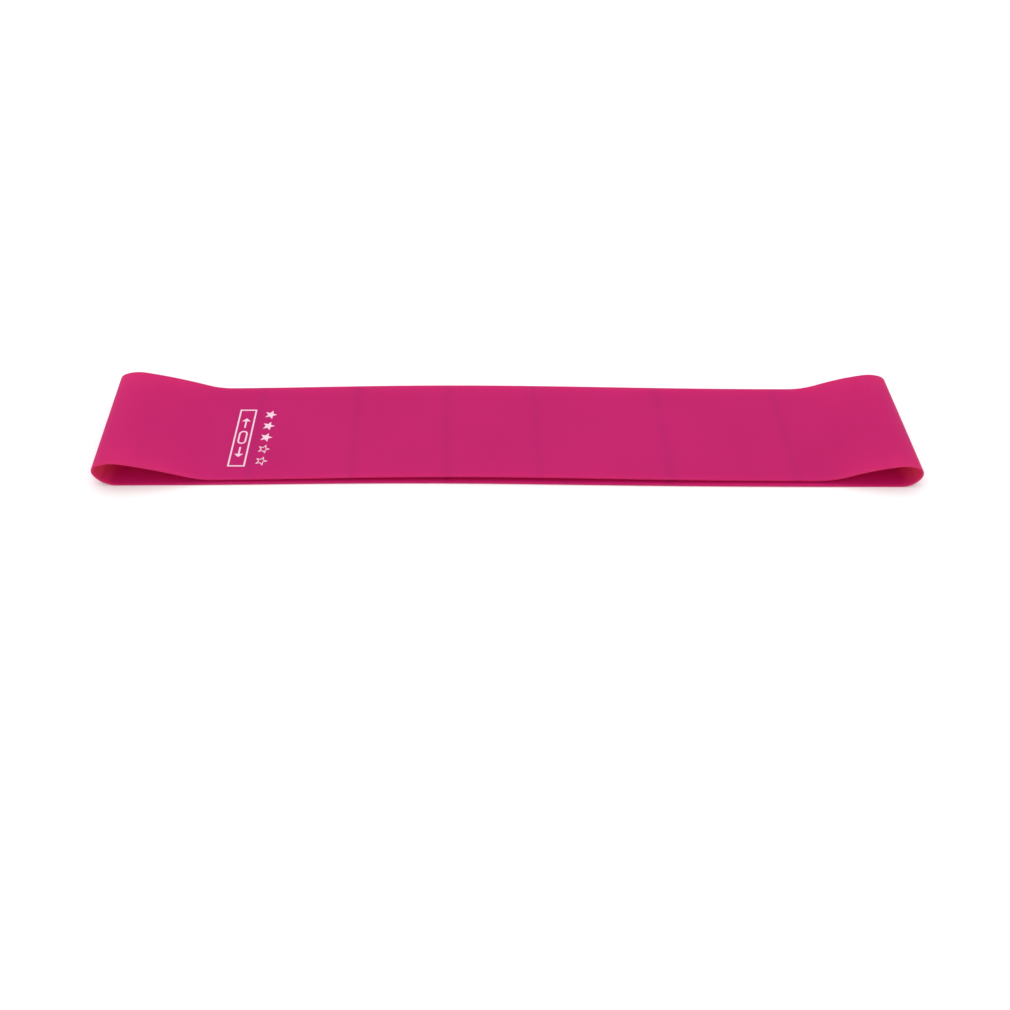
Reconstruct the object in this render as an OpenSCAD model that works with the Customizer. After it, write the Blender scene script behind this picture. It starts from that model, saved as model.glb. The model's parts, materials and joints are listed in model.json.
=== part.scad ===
// Flat rubber loop band, lying collapsed on a table with an open bight at each end.
// The loop is one seamless strip of rubber with a print on its upper run. It is divided here at flex
// lines, so that it can bend open and stretch. X runs along the band, Y across it, Z up.

/* [Loop] */
// Length once round the loop, along the middle of the rubber
loop_length = 610; // [500:1:740]
// Width of the band
band_width = 50; // [41:1:62]
// Thickness of the rubber
rubber_t = 0.7; // [0.5:0.05:0.85]
// Air between the two runs where the loop lies flat
run_gap = 0.6; // [0.4:0.05:1]

/* [Left end] */
// Radius of the lower run as it lifts off the table
left_lift_r = 8; // [6.5:0.1:10]
// Radius of the crown above the left nose
left_crown_r = 14; // [11:0.5:17]
// Fall of the crown where it becomes the slope, in degrees
left_crown_fall = 12; // [6:1:15]
// Fall of the slope where it meets the tail, in degrees
left_slope_fall = 20; // [18:1:26]

/* [Right end] */
// Radius of the lower run as it lifts off the table
right_lift_r = 6.3; // [5.2:0.1:8]
// Radius of the crown above the right nose
right_crown_r = 13; // [10:0.5:16]
// Fall of the crown where it becomes the slope, in degrees
right_crown_fall = 10; // [6:1:15]
// Fall of the slope where it meets the tail, in degrees
right_slope_fall = 23; // [18:1:26]

/* [Both ends] */
// Turn of the lifting stretch, in degrees
lift_turn = 70; // [60:1:75]
// Radius of the tight nose
nose_r = 2.65; // [2.2:0.05:3.4]
// Turn of the tight nose, in degrees
nose_turn = 85; // [75:1:90]
// Radius with which the slope settles onto the lower run
tail_r = 28; // [23:1:34]

/* [Flex lines] */
// Half length of each run's middle, which never bends
flat_half = 32; // [26:1:38]
// Widest bend at any one flex line as the loop opens, in degrees
most_flex = 71; // [60:1:76]
// Air left between the inner corners of two strips at that widest bend
flex_air = 0.1; // [0.06:0.02:0.16]
// Gap left in the upper run, where the ring is cut
cut_gap = 0.7; // [0.6:0.05:1]
// Place of that cut, to the right of the middle
cut_x = 12; // [8:1:16]
// Place of the stretching gap, to the left of the middle
bridge_x = 10; // [8:1:16]
// Straight stretch beyond each tail that stays with it, and on the left carries the print
print_run = 25; // [21:0.5:29]
// Strips in each half of the lower run
lower_count = 2; // [2:2]

/* [Print] */
// Thickness of the printed ink
ink_t = 0.05; // [0.03:0.01:0.1]
// Width of a printed line
line_w = 0.6; // [0.5:0.05:0.9]
// Outer length of the printed frame, across the band
frame_l = 30.9; // [26:0.1:34]
// Outer width of the printed frame, along the band
frame_w = 6.5; // [5.4:0.1:7.4]
// Frame's centre, outward from the middle of the straight stretch that carries the print
frame_out = 4.9; // [4:0.1:5.4]
// Length of the stretching mark inside the frame
mark_l = 21; // [17.5:0.5:25]
// Width of the stretching mark
mark_w = 3.3; // [2.8:0.1:3.9]
// Star column's centre, inward from the middle of that stretch
stars_in = 4; // [3.4:0.1:4.6]
// Radius of a star to its tips
star_r = 2.45; // [2.05:0.05:2.9]
// Distance from one star to the next
star_pitch = 6.3; // [6:0.1:7.4]
// Stars that are filled in, counted from the rear
filled_count = 3; // [1:4]
// Stars in the column
star_count = 5; // [5:5]
// Print's centre, across the band
print_y = -3.4; // [-4:0.1:0]
// Turn of the whole print on the band, in degrees
print_skew = 1.4; // [0:0.1:2]

/* [Hidden] */
$fn = 360;
RUBBER = "#C62A6F";
INK = "#F6F2F4";
STAR_WAIST = 0.43; // a star's inner radius, as a share of its outer one
LAP = 0.1; // how far two stretches of one strip run into each other, so that they are one solid
HAIR = 0.01; // how much finer every other stretch is on each face, so that no two faces nearly coincide

// Gap between two strips at a flex line, wide enough for their inner corners to clear as they bend
flex_gap = rubber_t * tan(most_flex / 2) + flex_air;
// Height of the rubber's middle in the upper run
upper_z = 1.5 * rubber_t + run_gap;
// Angle that the nose leaves for the crown to climb
crown_rise = 180 - lift_turn - nose_turn;

function arc_length(r, turn) = r * turn * PI / 180;

// One end of the band: lift radius, crown radius, crown fall, slope fall
function end_of(s) = s == "left"
    ? [left_lift_r, left_crown_r, left_crown_fall, left_slope_fall]
    : [right_lift_r, right_crown_r, right_crown_fall, right_slope_fall];

// Height of the rubber's middle at the top of an end
function peak_z(e) = rubber_t / 2 + e[0] * (1 - cos(lift_turn))
    + nose_r * (cos(lift_turn) + cos(crown_rise)) + e[1] * (1 - cos(crown_rise));

// Radius of the slope, which brings the rubber down to the upper run's height
function slope_r(e) =
    (peak_z(e) - e[1] * (1 - cos(e[2])) - tail_r * (1 - cos(e[3])) - upper_z) / (cos(e[2]) - cos(e[3]));

// Distance from the nose's outer face back to where the lower run lifts
function lift_reach(e) = rubber_t / 2 + e[0] * sin(lift_turn) + nose_r * (1 - sin(lift_turn));

// Distance from the nose's outer face back to where the tail ends
function tail_reach(e) = rubber_t / 2 + nose_r * (1 - sin(crown_rise))
    + e[1] * (sin(crown_rise) + sin(e[2])) + slope_r(e) * (sin(e[3]) - sin(e[2])) + tail_r * sin(e[3]);

// Length of rubber from the lift to the end of the tail
function bight_length(e) = arc_length(e[0], lift_turn) + arc_length(nose_r, nose_turn)
    + arc_length(e[1], crown_rise + e[2]) + arc_length(slope_r(e), e[3] - e[2]) + arc_length(tail_r, e[3]);

// What an end adds to the band's length, nose to nose
function end_share(e) = lift_reach(e) + tail_reach(e) - bight_length(e);

// Outer length of the collapsed band, nose to nose
span = (loop_length + end_share(end_of("left")) + end_share(end_of("right"))) / 2;

// Length of one straight strip in a half of the lower run, and of the one strip in the upper run
function lower_l(e) = (span / 2 - lift_reach(e) - flat_half) / lower_count;
function upper_l(e) = span / 2 - tail_reach(e) - print_run - flat_half;

// Every stretch of one half of the ring, from the lower run round the nose to the upper run, each
// with its length and its turn
function stretches(s) = let (e = end_of(s), half_nose = [arc_length(nose_r, nose_turn / 2), nose_turn / 2]) [
    [lower_l(e), 0],
    [lower_l(e), 0],
    [arc_length(e[0], lift_turn), lift_turn],
    half_nose,
    half_nose,
    [arc_length(e[1], crown_rise + e[2]), crown_rise + e[2]],
    [arc_length(slope_r(e), e[3] - e[2]), e[3] - e[2]],
    [arc_length(tail_r, e[3]), -e[3]],
    [print_run, 0],
    [upper_l(e), 0]
];

// Straight distance from one end of a stretch to the other
function chord(piece) = piece[1] == 0 ? piece[0] : 360 * piece[0] * sin(piece[1] / 2) / (piece[1] * PI);

// Where stretch i starts, as [x, z, heading], with x running outward
function start_of(list, i) = i == 0
    ? [flat_half, rubber_t / 2, 0]
    : let (at = start_of(list, i - 1), piece = list[i - 1], way = at.z + piece[1] / 2)
        [at.x + chord(piece) * cos(way), at.y + chord(piece) * sin(way), at.z + piece[1]];

// A straight stretch, cut short by trim_0 at its start and by trim_1 at its end, and finer by hair
module straight_piece(length, trim_0, trim_1, hair) {
    translate([trim_0, hair - band_width / 2, hair - rubber_t / 2])
        cube([length - trim_0 - trim_1, band_width - 2 * hair, rubber_t - 2 * hair]);
}

// A stretch that bends upward through turn, trimmed in the same way
module bent_piece(length, turn, trim_0, trim_1, hair) {
    r = length * 180 / (turn * PI);
    off_0 = trim_0 * 180 / (r * PI);
    off_1 = trim_1 * 180 / (r * PI);
    translate([0, 0, r]) rotate([90, 0, 0]) rotate([0, 0, off_0 - 90])
        rotate_extrude(angle = turn - off_0 - off_1)
            translate([r + hair - rubber_t / 2, hair - band_width / 2])
                square([rubber_t - 2 * hair, band_width - 2 * hair]);
}

// One strip: the stretches from first to last as one solid, short of the flex lines at its ends
module half_strip(s, first, last) {
    list = stretches(s);
    color(RUBBER) for (i = [first:last]) {
        at = start_of(list, i);
        turn = list[i][1];
        hair = (last - i) % 2 * HAIR;
        trim_0 = i == first ? flex_gap / 2 : -LAP;
        trim_1 = i == last ? flex_gap / 2 : -LAP;
        translate([at.x, 0, at.y]) rotate([0, -at.z, 0]) {
            if (turn == 0) straight_piece(list[i][0], trim_0, trim_1, hair);
            if (turn > 0) bent_piece(list[i][0], turn, trim_0, trim_1, hair);
            if (turn < 0) mirror([0, 0, 1]) bent_piece(list[i][0], -turn, trim_0, trim_1, hair);
        }
    }
}

module left_strip(first, last) {
    mirror([1, 0, 0]) half_strip("left", first, last);
}

module right_strip(first, last) {
    half_strip("right", first, last);
}

// A flat piece of a run's middle, from x0 to x1, with its underside at height z
module run_piece(x0, x1, z) {
    color(RUBBER) translate([x0, -band_width / 2, z]) cube([x1 - x0, band_width, rubber_t]);
}

module lower_run_left() {
    run_piece(flex_gap / 2 - flat_half, -flex_gap / 2, 0);
}

module lower_run_right() {
    run_piece(flex_gap / 2, flat_half - flex_gap / 2, 0);
}

module upper_run_left() {
    run_piece(flex_gap / 2 - flat_half, -bridge_x - flex_gap / 2, upper_z - rubber_t / 2);
}

module upper_run_bridge() {
    run_piece(flex_gap / 2 - bridge_x, cut_x - cut_gap / 2, upper_z - rubber_t / 2);
}

module upper_run_right() {
    run_piece(cut_x + cut_gap / 2, flat_half - flex_gap / 2, upper_z - rubber_t / 2);
}

module left_lower_1() { left_strip(0, 0); }
module left_lower_2() { left_strip(1, 1); }
module left_lift() { left_strip(2, 3); }
module left_crown() { left_strip(4, 6); }
module left_tail() { left_strip(7, 8); }
module left_upper() { left_strip(9, 9); }

module right_lower_1() { right_strip(0, 0); }
module right_lower_2() { right_strip(1, 1); }
module right_lift() { right_strip(2, 3); }
module right_crown() { right_strip(4, 6); }
module right_tail() { right_strip(7, 8); }
module right_upper() { right_strip(9, 9); }

// Middle of the straight stretch beyond the left tail, which carries the whole print
label_x = tail_reach(end_of("left")) + print_run / 2 - span / 2;

// A layer of ink on the upper run, drawn flat about the middle of the print
module ink() {
    color(INK) translate([label_x, print_y, upper_z + rubber_t / 2]) rotate([0, 0, -print_skew])
        linear_extrude(ink_t) children();
}

module label_frame() {
    ink() translate([-frame_out, 0]) difference() {
        square([frame_w, frame_l], center = true);
        square([frame_w - 2 * line_w, frame_l - 2 * line_w], center = true);
    }
}

// A slot shape with round ends, across the band
module slot(length, width) {
    square([width, length - width], center = true);
    for (side = [-1, 1]) translate([0, side * (length - width) / 2]) circle(d = width);
}

// A flattened loop between two arrows that point outward
module label_mark() {
    loop_l = mark_l / 3;
    arrow_l = mark_l / 4;
    ink() translate([-frame_out, 0]) {
        difference() {
            slot(loop_l, mark_w);
            slot(loop_l - 2 * line_w, mark_w - 2 * line_w);
        }
        for (turn = [0, 180]) rotate(turn) translate([0, mark_l / 2 - arrow_l]) {
            translate([-line_w / 2, 0]) square([line_w, arrow_l - mark_w / 2]);
            translate([0, arrow_l - mark_w / 2])
                polygon([[-mark_w / 2, 0], [mark_w / 2, 0], [0, mark_w / 2]]);
        }
    }
}

// A five-pointed star with a tip towards +X
module star(r) {
    polygon([for (i = [0:9]) r * (i % 2 == 0 ? 1 : STAR_WAIST) * [cos(36 * i), sin(36 * i)]]);
}

module star_at(i) {
    translate([stars_in, ((star_count - 1) / 2 - i) * star_pitch]) children();
}

module stars_filled() {
    ink() for (i = [0:filled_count - 1]) star_at(i) star(star_r);
}

module stars_open() {
    // Distance from a star's centre to the line along one of its edges
    edge_r = star_r * STAR_WAIST * sin(36)
        / norm([1 - STAR_WAIST * cos(36), STAR_WAIST * sin(36)]);
    ink() for (i = [filled_count:star_count - 1]) star_at(i) difference() {
        star(star_r);
        star(star_r * (1 - line_w / 2 / edge_r));
    }
}

lower_run_left();
lower_run_right();
left_lower_1();
left_lower_2();
left_lift();
left_crown();
left_tail();
left_upper();
right_lower_1();
right_lower_2();
right_lift();
right_crown();
right_tail();
right_upper();
upper_run_left();
upper_run_bridge();
upper_run_right();
label_frame();
label_mark();
stars_filled();
stars_open();
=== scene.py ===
import json
import math

import bmesh
import bpy
import numpy as np
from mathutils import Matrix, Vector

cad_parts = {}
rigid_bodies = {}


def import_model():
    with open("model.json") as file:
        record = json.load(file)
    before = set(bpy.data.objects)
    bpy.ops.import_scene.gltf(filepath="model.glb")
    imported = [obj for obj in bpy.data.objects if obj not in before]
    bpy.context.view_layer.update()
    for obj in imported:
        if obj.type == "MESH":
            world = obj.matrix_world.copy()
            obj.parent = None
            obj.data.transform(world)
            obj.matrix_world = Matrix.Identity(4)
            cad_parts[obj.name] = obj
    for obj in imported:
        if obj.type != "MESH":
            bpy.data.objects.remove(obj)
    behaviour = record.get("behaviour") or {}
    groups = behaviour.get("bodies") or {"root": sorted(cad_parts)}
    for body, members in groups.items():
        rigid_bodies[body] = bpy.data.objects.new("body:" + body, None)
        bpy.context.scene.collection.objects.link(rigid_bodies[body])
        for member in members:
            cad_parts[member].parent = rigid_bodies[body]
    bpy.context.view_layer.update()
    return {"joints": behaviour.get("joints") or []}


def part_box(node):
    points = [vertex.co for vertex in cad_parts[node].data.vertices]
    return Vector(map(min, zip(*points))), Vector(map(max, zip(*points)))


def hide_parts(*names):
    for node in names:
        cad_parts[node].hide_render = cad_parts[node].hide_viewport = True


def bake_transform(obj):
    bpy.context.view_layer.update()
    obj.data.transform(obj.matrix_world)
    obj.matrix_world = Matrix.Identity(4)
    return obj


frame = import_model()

# ---------------------------------------------------------------------------------------------
# The line that the rubber follows
# The band is one seamless loop of rubber, dipped on a round former and then laid down flat. It
# has a fold of its own making at each end, tight at the nose and slack behind it. The line runs
# along the middle of the rubber, in plain arcs that run on into each other.

MM = 0.001
run_low, run_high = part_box("lower_run_left")
WIDTH = run_high[1] - run_low[1]
THICKNESS = run_high[2] - run_low[2]
UPPER_Z = (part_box("upper_run_left")[0][2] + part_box("upper_run_left")[1][2]) / 2
LIFT_TURN, NOSE_TURN = math.radians(70), math.radians(85)
NOSE_R, TAIL_R = 2.65 * MM, 28 * MM
# each end: radius of the lift, radius of the crown, fall of the crown, fall of the slope
ENDS = {"left": (8 * MM, 14 * MM, math.radians(12), math.radians(20)),
        "right": (6.3 * MM, 13 * MM, math.radians(10), math.radians(23))}
SIDES = {"left": -1, "right": 1}
GRID = 0.1 * MM      # spacing of the points on the worked-out line
EASE = 0.8 * MM      # rubber can't change its bend suddenly: the length that softens each change


def flex_joints(side):
    """The joints of one half of the ring, from the lower run out round the nose to the upper run."""
    found, body = [], f"lower_run_{side}"
    while True:
        onward = [j for j in frame["joints"] if j["type"] == "hinge" and j["parent"] == body]
        if not onward:
            return found
        found.append(onward[0])
        body = onward[0]["child"]


def half_arcs(side, lift_x):
    """Length and turn of every arc in one half, and how far out the tail ends."""
    lift_r, crown_r, fall, slope_fall = ENDS[side]
    rise = math.pi - LIFT_TURN - NOSE_TURN
    top = (THICKNESS / 2 + lift_r * (1 - math.cos(LIFT_TURN))
           + NOSE_R * (math.cos(LIFT_TURN) + math.cos(rise)) + crown_r * (1 - math.cos(rise)))
    drop = top - crown_r * (1 - math.cos(fall)) - TAIL_R * (1 - math.cos(slope_fall)) - UPPER_Z
    slope_r = drop / (math.cos(fall) - math.cos(slope_fall))
    arcs = [(lift_x, 0.0), (lift_r * LIFT_TURN, LIFT_TURN), (NOSE_R * NOSE_TURN, NOSE_TURN),
            (crown_r * (rise + fall), rise + fall), (slope_r * (slope_fall - fall), slope_fall - fall),
            (TAIL_R * slope_fall, -slope_fall)]
    x = turned = 0.0
    for length, turn in arcs:
        flat = length if turn == 0 else 2 * length / turn * math.sin(turn / 2)
        x += flat * math.cos(turned + turn / 2)
        turned += turn
    return arcs + [(x, 0.0)], x


def half_line(side):
    """Length, bend and place along one half, as arrays. x runs outward and the turn starts at 0."""
    spots = np.array([(abs(j["pos_m"][0]), j["pos_m"][2]) for j in flex_joints(side)])
    arcs, tail_x = half_arcs(side, spots[2][0])
    ends = np.cumsum([length for length, _ in arcs])
    total = ends[-1]
    s = np.linspace(0, total, int(total / GRID) + 1)
    step = s[1] - s[0]
    bends = np.array([turn / length for length, turn in arcs])
    bend = bends[np.minimum(np.searchsorted(ends, s), len(arcs) - 1)]
    reach = np.arange(-4 * EASE, 4 * EASE + step / 2, step)
    bell = np.exp(-0.5 * (reach / EASE) ** 2)
    bend = np.convolve(np.pad(bend, len(reach) // 2), bell / bell.sum(), "valid")[: len(s)]
    angle = np.concatenate([[0], np.cumsum((bend[1:] + bend[:-1]) / 2) * step])
    angle *= math.pi / angle[-1]
    x = np.concatenate([[0], np.cumsum(np.cos((angle[1:] + angle[:-1]) / 2)) * step])
    z = np.concatenate([[0], np.cumsum(np.sin((angle[1:] + angle[:-1]) / 2)) * step]) + THICKNESS / 2
    # what softening the bends cost in place is given back over the open end alone
    share = np.clip((s - ends[0]) / (ends[-2] - ends[0]), 0, 1)
    x -= x[-1] * share
    z -= (z[-1] - UPPER_Z) * share
    joint_at = np.array([s[np.argmin(np.hypot(x - jx, z - jz))] for jx, jz in spots])
    return {"s": s, "x": x, "z": z, "angle": angle, "bend": bend, "joint_at": joint_at, "total": total}


lines = {side: half_line(side) for side in SIDES}
ROUND = sum(line["total"] for line in lines.values())
FORMER_R = ROUND / (2 * math.pi)

# How the slack loop lies: it bows a little on the table, and its upper run stands off the lower.
BOW, BOW_X, BOW_SPREAD = 1.5 * MM, -32 * MM, 55 * MM
ARCH, ARCH_REACH = 0.75 * MM, 104 * MM


def bow(x):
    return BOW * np.exp(-0.5 * ((x - BOW_X) / BOW_SPREAD) ** 2)


def arch(x):
    return ARCH * np.clip(1 - (x / ARCH_REACH) ** 2, 0, 1) ** 2


SKEW, SKEW_TURN = 1.3 * MM, 0.002     # the lower run lies a little nearer, most at the right


def on_rubber(side, s, y, out):
    """Point, outward normal and former place at length s, width y, and out from the middle."""
    line = lines[side]
    x, z, angle = (np.interp(s, line["s"], line[key]) for key in ("x", "z", "angle"))
    sign = SIDES[side]
    nx, nz = np.sin(angle) * sign, -np.cos(angle)
    px = x * sign + nx * out
    pz = z + nz * out + arch(x) * (1 - np.cos(angle)) / 2
    nearer = (SKEW + SKEW_TURN * px) * (1 + np.cos(angle)) / 2
    point = np.stack([px, y + bow(px) - nearer, pz], -1)
    normal = np.stack([nx, 0 * nx, nz], -1)
    ring = (s if side == "right" else ROUND - s) / FORMER_R
    radius = FORMER_R + out
    former = np.stack([radius * np.cos(ring), radius * np.sin(ring), y + 0 * ring], -1)
    return point, normal, former


# ---------------------------------------------------------------------------------------------
# Rubber
# Natural latex sheet, coloured magenta right through and dusted so that it doesn't stick. That
# gives a satin skin with a very fine grain, faint draw lines round the loop and a cloudy colour.
# A sheet this thin lets some light through, and it comes out redder.

def linear(hex_colour):
    """An sRGB hex colour as linear red, green, blue and alpha."""
    parts = [int(hex_colour[i:i + 2], 16) / 255 for i in (1, 3, 5)]
    return [c / 12.92 if c <= 0.04045 else ((c + 0.055) / 1.055) ** 2.4 for c in parts] + [1.0]


def add(tree, kind, sockets=None, links=None, **settings):
    """Adds one node with its settings, socket values and links."""
    node = tree.nodes.new(kind)
    for name, value in settings.items():
        setattr(node, name, value)
    for name, value in (sockets or {}).items():
        node.inputs[name].default_value = value
    for name, source in (links or {}).items():
        tree.links.new(source, node.inputs[name])
    return node


def per_mm(size):
    """Noise scale at which one feature is about size millimetres across."""
    return 1 / (size * MM)


LATEX_DEEP = "#C80F74"
LATEX_PALE = "#D4177E"
LATEX_THROUGH = "#FF988E"
THROUGH = 0.4                # share of the light that goes on into the sheet


def magenta_latex():
    material = bpy.data.materials.new("magenta_latex_sheet")
    material.use_nodes = True
    tree = material.node_tree
    tree.nodes.clear()
    place = add(tree, "ShaderNodeAttribute", attribute_name="former").outputs["Vector"]
    # pigment that settled unevenly while the sheet set, in patches of about 30 mm
    cloud = add(tree, "ShaderNodeTexNoise", {"Scale": per_mm(30), "Detail": 3.0, "Roughness": 0.5},
                {"Vector": place})
    colour = add(tree, "ShaderNodeMix", {"A": linear(LATEX_DEEP), "B": linear(LATEX_PALE)},
                 data_type="RGBA")
    tree.links.new(cloud.outputs["Fac"], colour.inputs["Factor"])
    # draw lines, 1.5 mm apart across the width and long round the loop
    stretched = add(tree, "ShaderNodeMapping", {"Scale": (0.02, 0.02, 1.0)}, {"Vector": place})
    drawn = add(tree, "ShaderNodeTexNoise", {"Scale": per_mm(1.5), "Detail": 2.0},
                {"Vector": stretched.outputs["Vector"]})
    # grain of the powder that the wet sheet was dusted with, about 0.35 mm
    grain = add(tree, "ShaderNodeTexNoise", {"Scale": per_mm(0.35), "Detail": 3.0, "Roughness": 0.6},
                {"Vector": place})
    line_bump = add(tree, "ShaderNodeBump", {"Strength": 0.25, "Distance": 0.02 * MM},
                    {"Height": drawn.outputs["Fac"]})
    grain_bump = add(tree, "ShaderNodeBump", {"Strength": 0.35, "Distance": 0.02 * MM},
                     {"Height": grain.outputs["Fac"], "Normal": line_bump.outputs["Normal"]})
    rough = add(tree, "ShaderNodeMapRange", {"To Min": 0.46, "To Max": 0.58},
                {"Value": grain.outputs["Fac"]})
    skin = add(tree, "ShaderNodeBsdfPrincipled", {"IOR": 1.52, "Specular IOR Level": 0.2},
               {"Base Color": colour.outputs["Result"], "Roughness": rough.outputs["Result"],
                "Normal": grain_bump.outputs["Normal"]})
    glow = add(tree, "ShaderNodeBsdfTranslucent", {"Color": linear(LATEX_THROUGH)})
    sheet = add(tree, "ShaderNodeMixShader", {0: THROUGH},
                {1: skin.outputs["BSDF"], 2: glow.outputs["BSDF"]})
    add(tree, "ShaderNodeOutputMaterial", links={"Surface": sheet.outputs["Shader"]})
    return material


latex = magenta_latex()

# ---------------------------------------------------------------------------------------------
# The loop
# One strip of that sheet, cut square at both edges. It is drawn in lengths that meet edge to
# edge, and each spans one joint of the frame.

EDGE_R = 0.1 * MM        # the cut edge is crisp, with a hair of roundness
EDGE_STEPS = 3
ACROSS = 12              # facets across the width
MOST_TURN = math.radians(2.5)
SHORT_STEP, LONG_STEP = 0.15 * MM, 2.0 * MM
MIDDLE = 22 * MM         # the flat part of each run's middle
CUT_X = (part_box("upper_run_bridge")[1][0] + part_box("upper_run_right")[0][0]) / 2


def section():
    """The cut strip's outline: its width, outward offset and normals, round the four corners."""
    points = []
    half_w, half_t = WIDTH / 2 - EDGE_R, THICKNESS / 2 - EDGE_R
    corners = [(1, 1), (-1, 1), (-1, -1), (1, -1)]
    for k, (cy, co) in enumerate(corners):
        for i in range(EDGE_STEPS + 1):
            a = math.pi / 2 * (k + i / EDGE_STEPS)
            points.append((cy * half_w + EDGE_R * math.cos(a), co * half_t + EDGE_R * math.sin(a),
                           math.cos(a), math.sin(a)))
        y, o, ny, no = points[-1]
        following = corners[(k + 1) % 4]
        if following[0] != cy:
            for i in range(1, ACROSS):
                points.append((y + (following[0] * half_w - y) * i / ACROSS, o, ny, no))
    return np.array(points)


def stations(side, s0, s1):
    """Lengths from s0 to s1, close together where the rubber bends."""
    line, out = lines[side], [s0]
    while out[-1] < s1 - 1e-9:
        bend = abs(np.interp(out[-1], line["s"], line["bend"]))
        step = min(max(MOST_TURN / max(bend, 1e-3), SHORT_STEP), LONG_STEP)
        out.append(out[-1] + step)
    scale = (s1 - s0) / (out[-1] - s0)
    return [(side, s0 + (s - s0) * scale) for s in out]


def rubber_length(name, spots):
    """A closed length of the strip through the given (side, length) spots."""
    outline = section()
    rows, normals, formers = [], [], []
    for side, s in spots:
        y, out, ny, no = outline.T
        point, normal, former = on_rubber(side, np.full(len(y), s), y, out)
        normal = normal * no[:, None]
        normal[:, 1] += ny
        rows.append(point)
        normals.append(normal)
        formers.append(former)
    n, m = len(spots), len(outline)
    faces = [[r * m + c, r * m + (c + 1) % m, (r + 1) * m + (c + 1) % m, (r + 1) * m + c]
             for r in range(n - 1) for c in range(m)]
    mesh = bpy.data.meshes.new(name)
    ends = [list(range(m)), list(range((n - 1) * m, n * m))]
    ends[0].reverse()
    faces += ends
    mesh.from_pydata(np.concatenate(rows).tolist(), [], faces)
    mesh.validate()
    if outward(mesh) < 0:
        mesh.flip_normals()
    attribute = mesh.attributes.new("former", "FLOAT_VECTOR", "POINT")
    attribute.data.foreach_set("vector", np.concatenate(formers).astype(np.float32).ravel())
    smooth = np.ones(len(mesh.polygons), bool)
    smooth[-2:] = False
    mesh.polygons.foreach_set("use_smooth", smooth)
    flat_normals = np.concatenate(normals)
    corner_vertex = np.zeros(len(mesh.loops), int)
    mesh.loops.foreach_get("vertex_index", corner_vertex)
    corner_normals = flat_normals[corner_vertex]
    for cap in list(mesh.polygons)[-2:]:
        corner_normals[list(cap.loop_indices)] = cap.normal
    mesh.normals_split_custom_set(corner_normals.tolist())
    mesh.materials.append(latex)
    piece = bpy.data.objects.new(name, mesh)
    bpy.context.scene.collection.objects.link(piece)
    return piece


def outward(mesh):
    """Positive where the mesh's faces look outward: its volume, by its faces."""
    return sum(p.area * p.normal.dot(p.center) for p in mesh.polygons)


def at_length(side, s, ahead=0.0):
    """A point on the rubber's middle, moved straight ahead along it."""
    line = lines[side]
    x, z, angle = (float(np.interp(s, line["s"], line[key])) for key in ("x", "z", "angle"))
    return (SIDES[side] * (x + ahead * math.cos(angle)), 0.0, z + ahead * math.sin(angle))


ZONE_MARGIN = 0.4 * MM   # pulls each zone's two ends in from where two lengths meet


def blend_zone(side, at, s0, s1):
    """Two points, one each way from a joint along the rubber, with both ends of its zone beyond them."""
    here, before, after = (np.array(at_length(side, s)) for s in (at, s0, s1))
    ahead = np.array(at_length(side, at, 1.0)) - here
    near = min((here - before) @ ahead, (after - here) @ ahead) - ZONE_MARGIN
    return tuple(here - near * ahead), tuple(here + near * ahead)


PRINT_X = -94.33 * MM    # between the printed frame and the stars, where two lengths meet
PRINT_CUT = 5            # which of the left half's cuts that is
for side in SIDES:
    line, joints = lines[side], flex_joints(side)
    at = line["joint_at"]
    last = MIDDLE if side == "left" else CUT_X
    cuts = [MIDDLE] + list((at[1:] + at[:-1]) / 2) + [line["total"] - last]
    if side == "left":
        cuts[PRINT_CUT] = line["total"] + PRINT_X
    for k, joint in enumerate(joints):
        piece = rubber_length(f"rubber_{joint['child']}", stations(side, cuts[k], cuts[k + 1]))
        zone = (joint["parent"], joint["child"], *blend_zone(side, at[k], cuts[k], cuts[k + 1]))
        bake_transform(piece)
        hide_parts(joint["child"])

# The middle of each run is drawn as one length between its two flat ends.
lower_spots = stations("left", 0, MIDDLE)[:0:-1] + stations("right", 0, MIDDLE)
lower_middle = rubber_length("rubber_lower_middle", lower_spots)
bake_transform(lower_middle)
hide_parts("lower_run_left", "lower_run_right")

tops = {side: lines[side]["total"] for side in SIDES}
upper_spots = stations("left", tops["left"] - MIDDLE, tops["left"])
upper_spots += stations("right", tops["right"] - CUT_X, tops["right"])[-2::-1]
upper_middle = rubber_length("rubber_upper_middle", upper_spots)
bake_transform(upper_middle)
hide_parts("upper_run_bridge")

# ---------------------------------------------------------------------------------------------
# The print
# Flexible off-white ink, pushed through a screen onto the finished loop. It is a thin skin laid
# onto the curve of the rubber: a frame with a stretching mark in it, and five stars for the strength.

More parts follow.
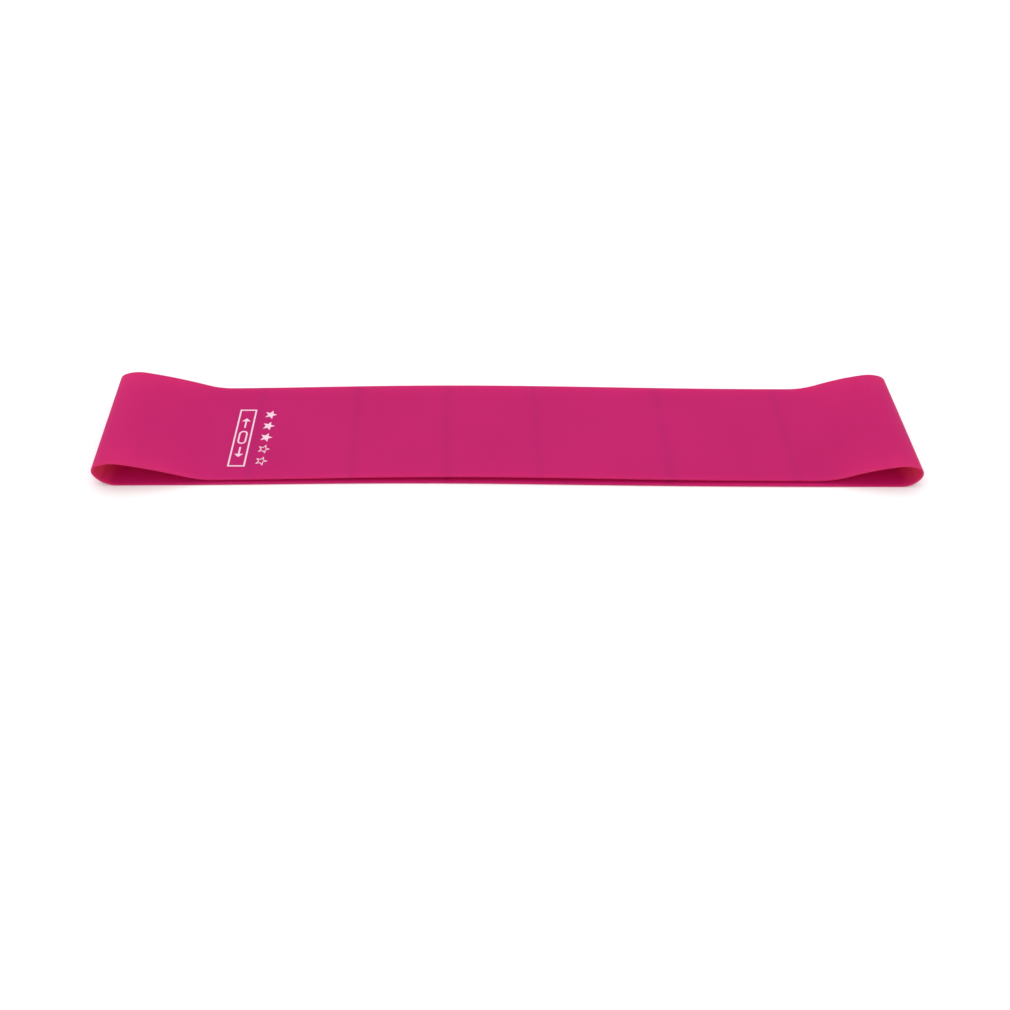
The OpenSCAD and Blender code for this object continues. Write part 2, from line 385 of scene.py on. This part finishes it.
def screen_ink():
    material = bpy.data.materials.new("off_white_screen_print_ink")
    material.use_nodes = True
    tree = material.node_tree
    tree.nodes.clear()
    place = add(tree, "ShaderNodeTexCoord").outputs["Object"]
    # the screen's mesh leaves the ink film a little thicker and thinner, about 0.3 mm across
    film = add(tree, "ShaderNodeTexNoise", {"Scale": per_mm(0.3), "Detail": 2.0}, {"Vector": place})
    colour = add(tree, "ShaderNodeMix", {"A": linear("#E0BCCD"), "B": linear("#EACFDC")},
                 data_type="RGBA", links={"Factor": film.outputs["Fac"]})
    film_bump = add(tree, "ShaderNodeBump", {"Strength": 0.2, "Distance": 0.01 * MM},
                    {"Height": film.outputs["Fac"]})
    skin = add(tree, "ShaderNodeBsdfPrincipled", {"Roughness": 0.6, "Specular IOR Level": 0.2},
               {"Base Color": colour.outputs["Result"], "Normal": film_bump.outputs["Normal"]})
    add(tree, "ShaderNodeOutputMaterial", links={"Surface": skin.outputs["BSDF"]})
    return material


ink = screen_ink()
SUNK = 0.02 * MM         # the ink keys into the skin of the rubber
for node, zone in (("label_frame", "left_tail"), ("label_mark", "left_tail"),
                   ("stars_filled", "left_upper"), ("stars_open", "left_upper")):
    source = bpy.data.objects[node]
    shape = bmesh.new()
    shape.from_mesh(source.data)
    shape.transform(source.matrix_world)
    bmesh.ops.remove_doubles(shape, verts=shape.verts, dist=0.001 * MM)
    for vertex in shape.verts:
        x, y, z = vertex.co
        out = z - UPPER_Z - SUNK
        point, _, _ = on_rubber("left", np.array([lines["left"]["total"] + x]), np.array([y]), out)
        vertex.co = point[0]
    mesh = bpy.data.meshes.new(f"ink_{node}")
    shape.to_mesh(mesh)
    shape.free()
    mesh.materials.append(ink)
    piece = bpy.data.objects.new(f"ink_{node}", mesh)
    bpy.context.scene.collection.objects.link(piece)
    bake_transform(piece)
    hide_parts(node)

# ---------------------------------------------------------------------------------------------
# The table and the light
# A white table under a white room of soft light, as for a catalogue. The lamp over it is wide, so
# that the rubber's bends turn softly and its shadow on the table is faint.

table_mesh = bpy.data.meshes.new("table")
REACH, TABLE_Z = 3.0, -0.05 * MM
table_mesh.from_pydata([(-REACH, -REACH, TABLE_Z), (REACH, -REACH, TABLE_Z),
                        (REACH, REACH, TABLE_Z), (-REACH, REACH, TABLE_Z)], [], [(0, 1, 2, 3)])
table = bpy.data.objects.new("table", table_mesh)
bpy.context.scene.collection.objects.link(table)
white = bpy.data.materials.new("white_table_lacquer")
white.use_nodes = True
white.node_tree.nodes["Principled BSDF"].inputs["Base Color"].default_value = linear("#FAFAFA")
white.node_tree.nodes["Principled BSDF"].inputs["Roughness"].default_value = 0.9
table_mesh.materials.append(white)

world = bpy.data.worlds.new("white_room")
bpy.context.scene.world = world
world.use_nodes = True
world.node_tree.nodes["Background"].inputs["Color"].default_value = (1, 1, 1, 1)
world.node_tree.nodes["Background"].inputs["Strength"].default_value = 0.95

lamp_data = bpy.data.lights.new("overhead_softbox", "AREA")
lamp_data.shape = "RECTANGLE"
lamp_data.size, lamp_data.size_y = 1.2, 0.8
lamp_data.energy = 4.0
lamp = bpy.data.objects.new("overhead_softbox", lamp_data)
lamp.location = (-0.1, 0.3, 1.0)
lamp.rotation_euler = (math.radians(-16), math.radians(-6), 0)
bpy.context.scene.collection.objects.link(lamp)

camera_data = bpy.data.cameras.new("camera")
camera_data.sensor_width = 36.0
camera_data.lens = 36.44
camera_data.shift_x = 0.0499
camera_data.clip_start = 0.01
camera = bpy.data.objects.new("camera", camera_data)
camera.location = (-0.01905, -0.2821, 0.2702)
camera.rotation_euler = (math.radians(90 - 47.6), 0, 0)
bpy.context.scene.collection.objects.link(camera)
bpy.context.scene.camera = camera
bpy.context.scene.view_settings.view_transform = "Standard"
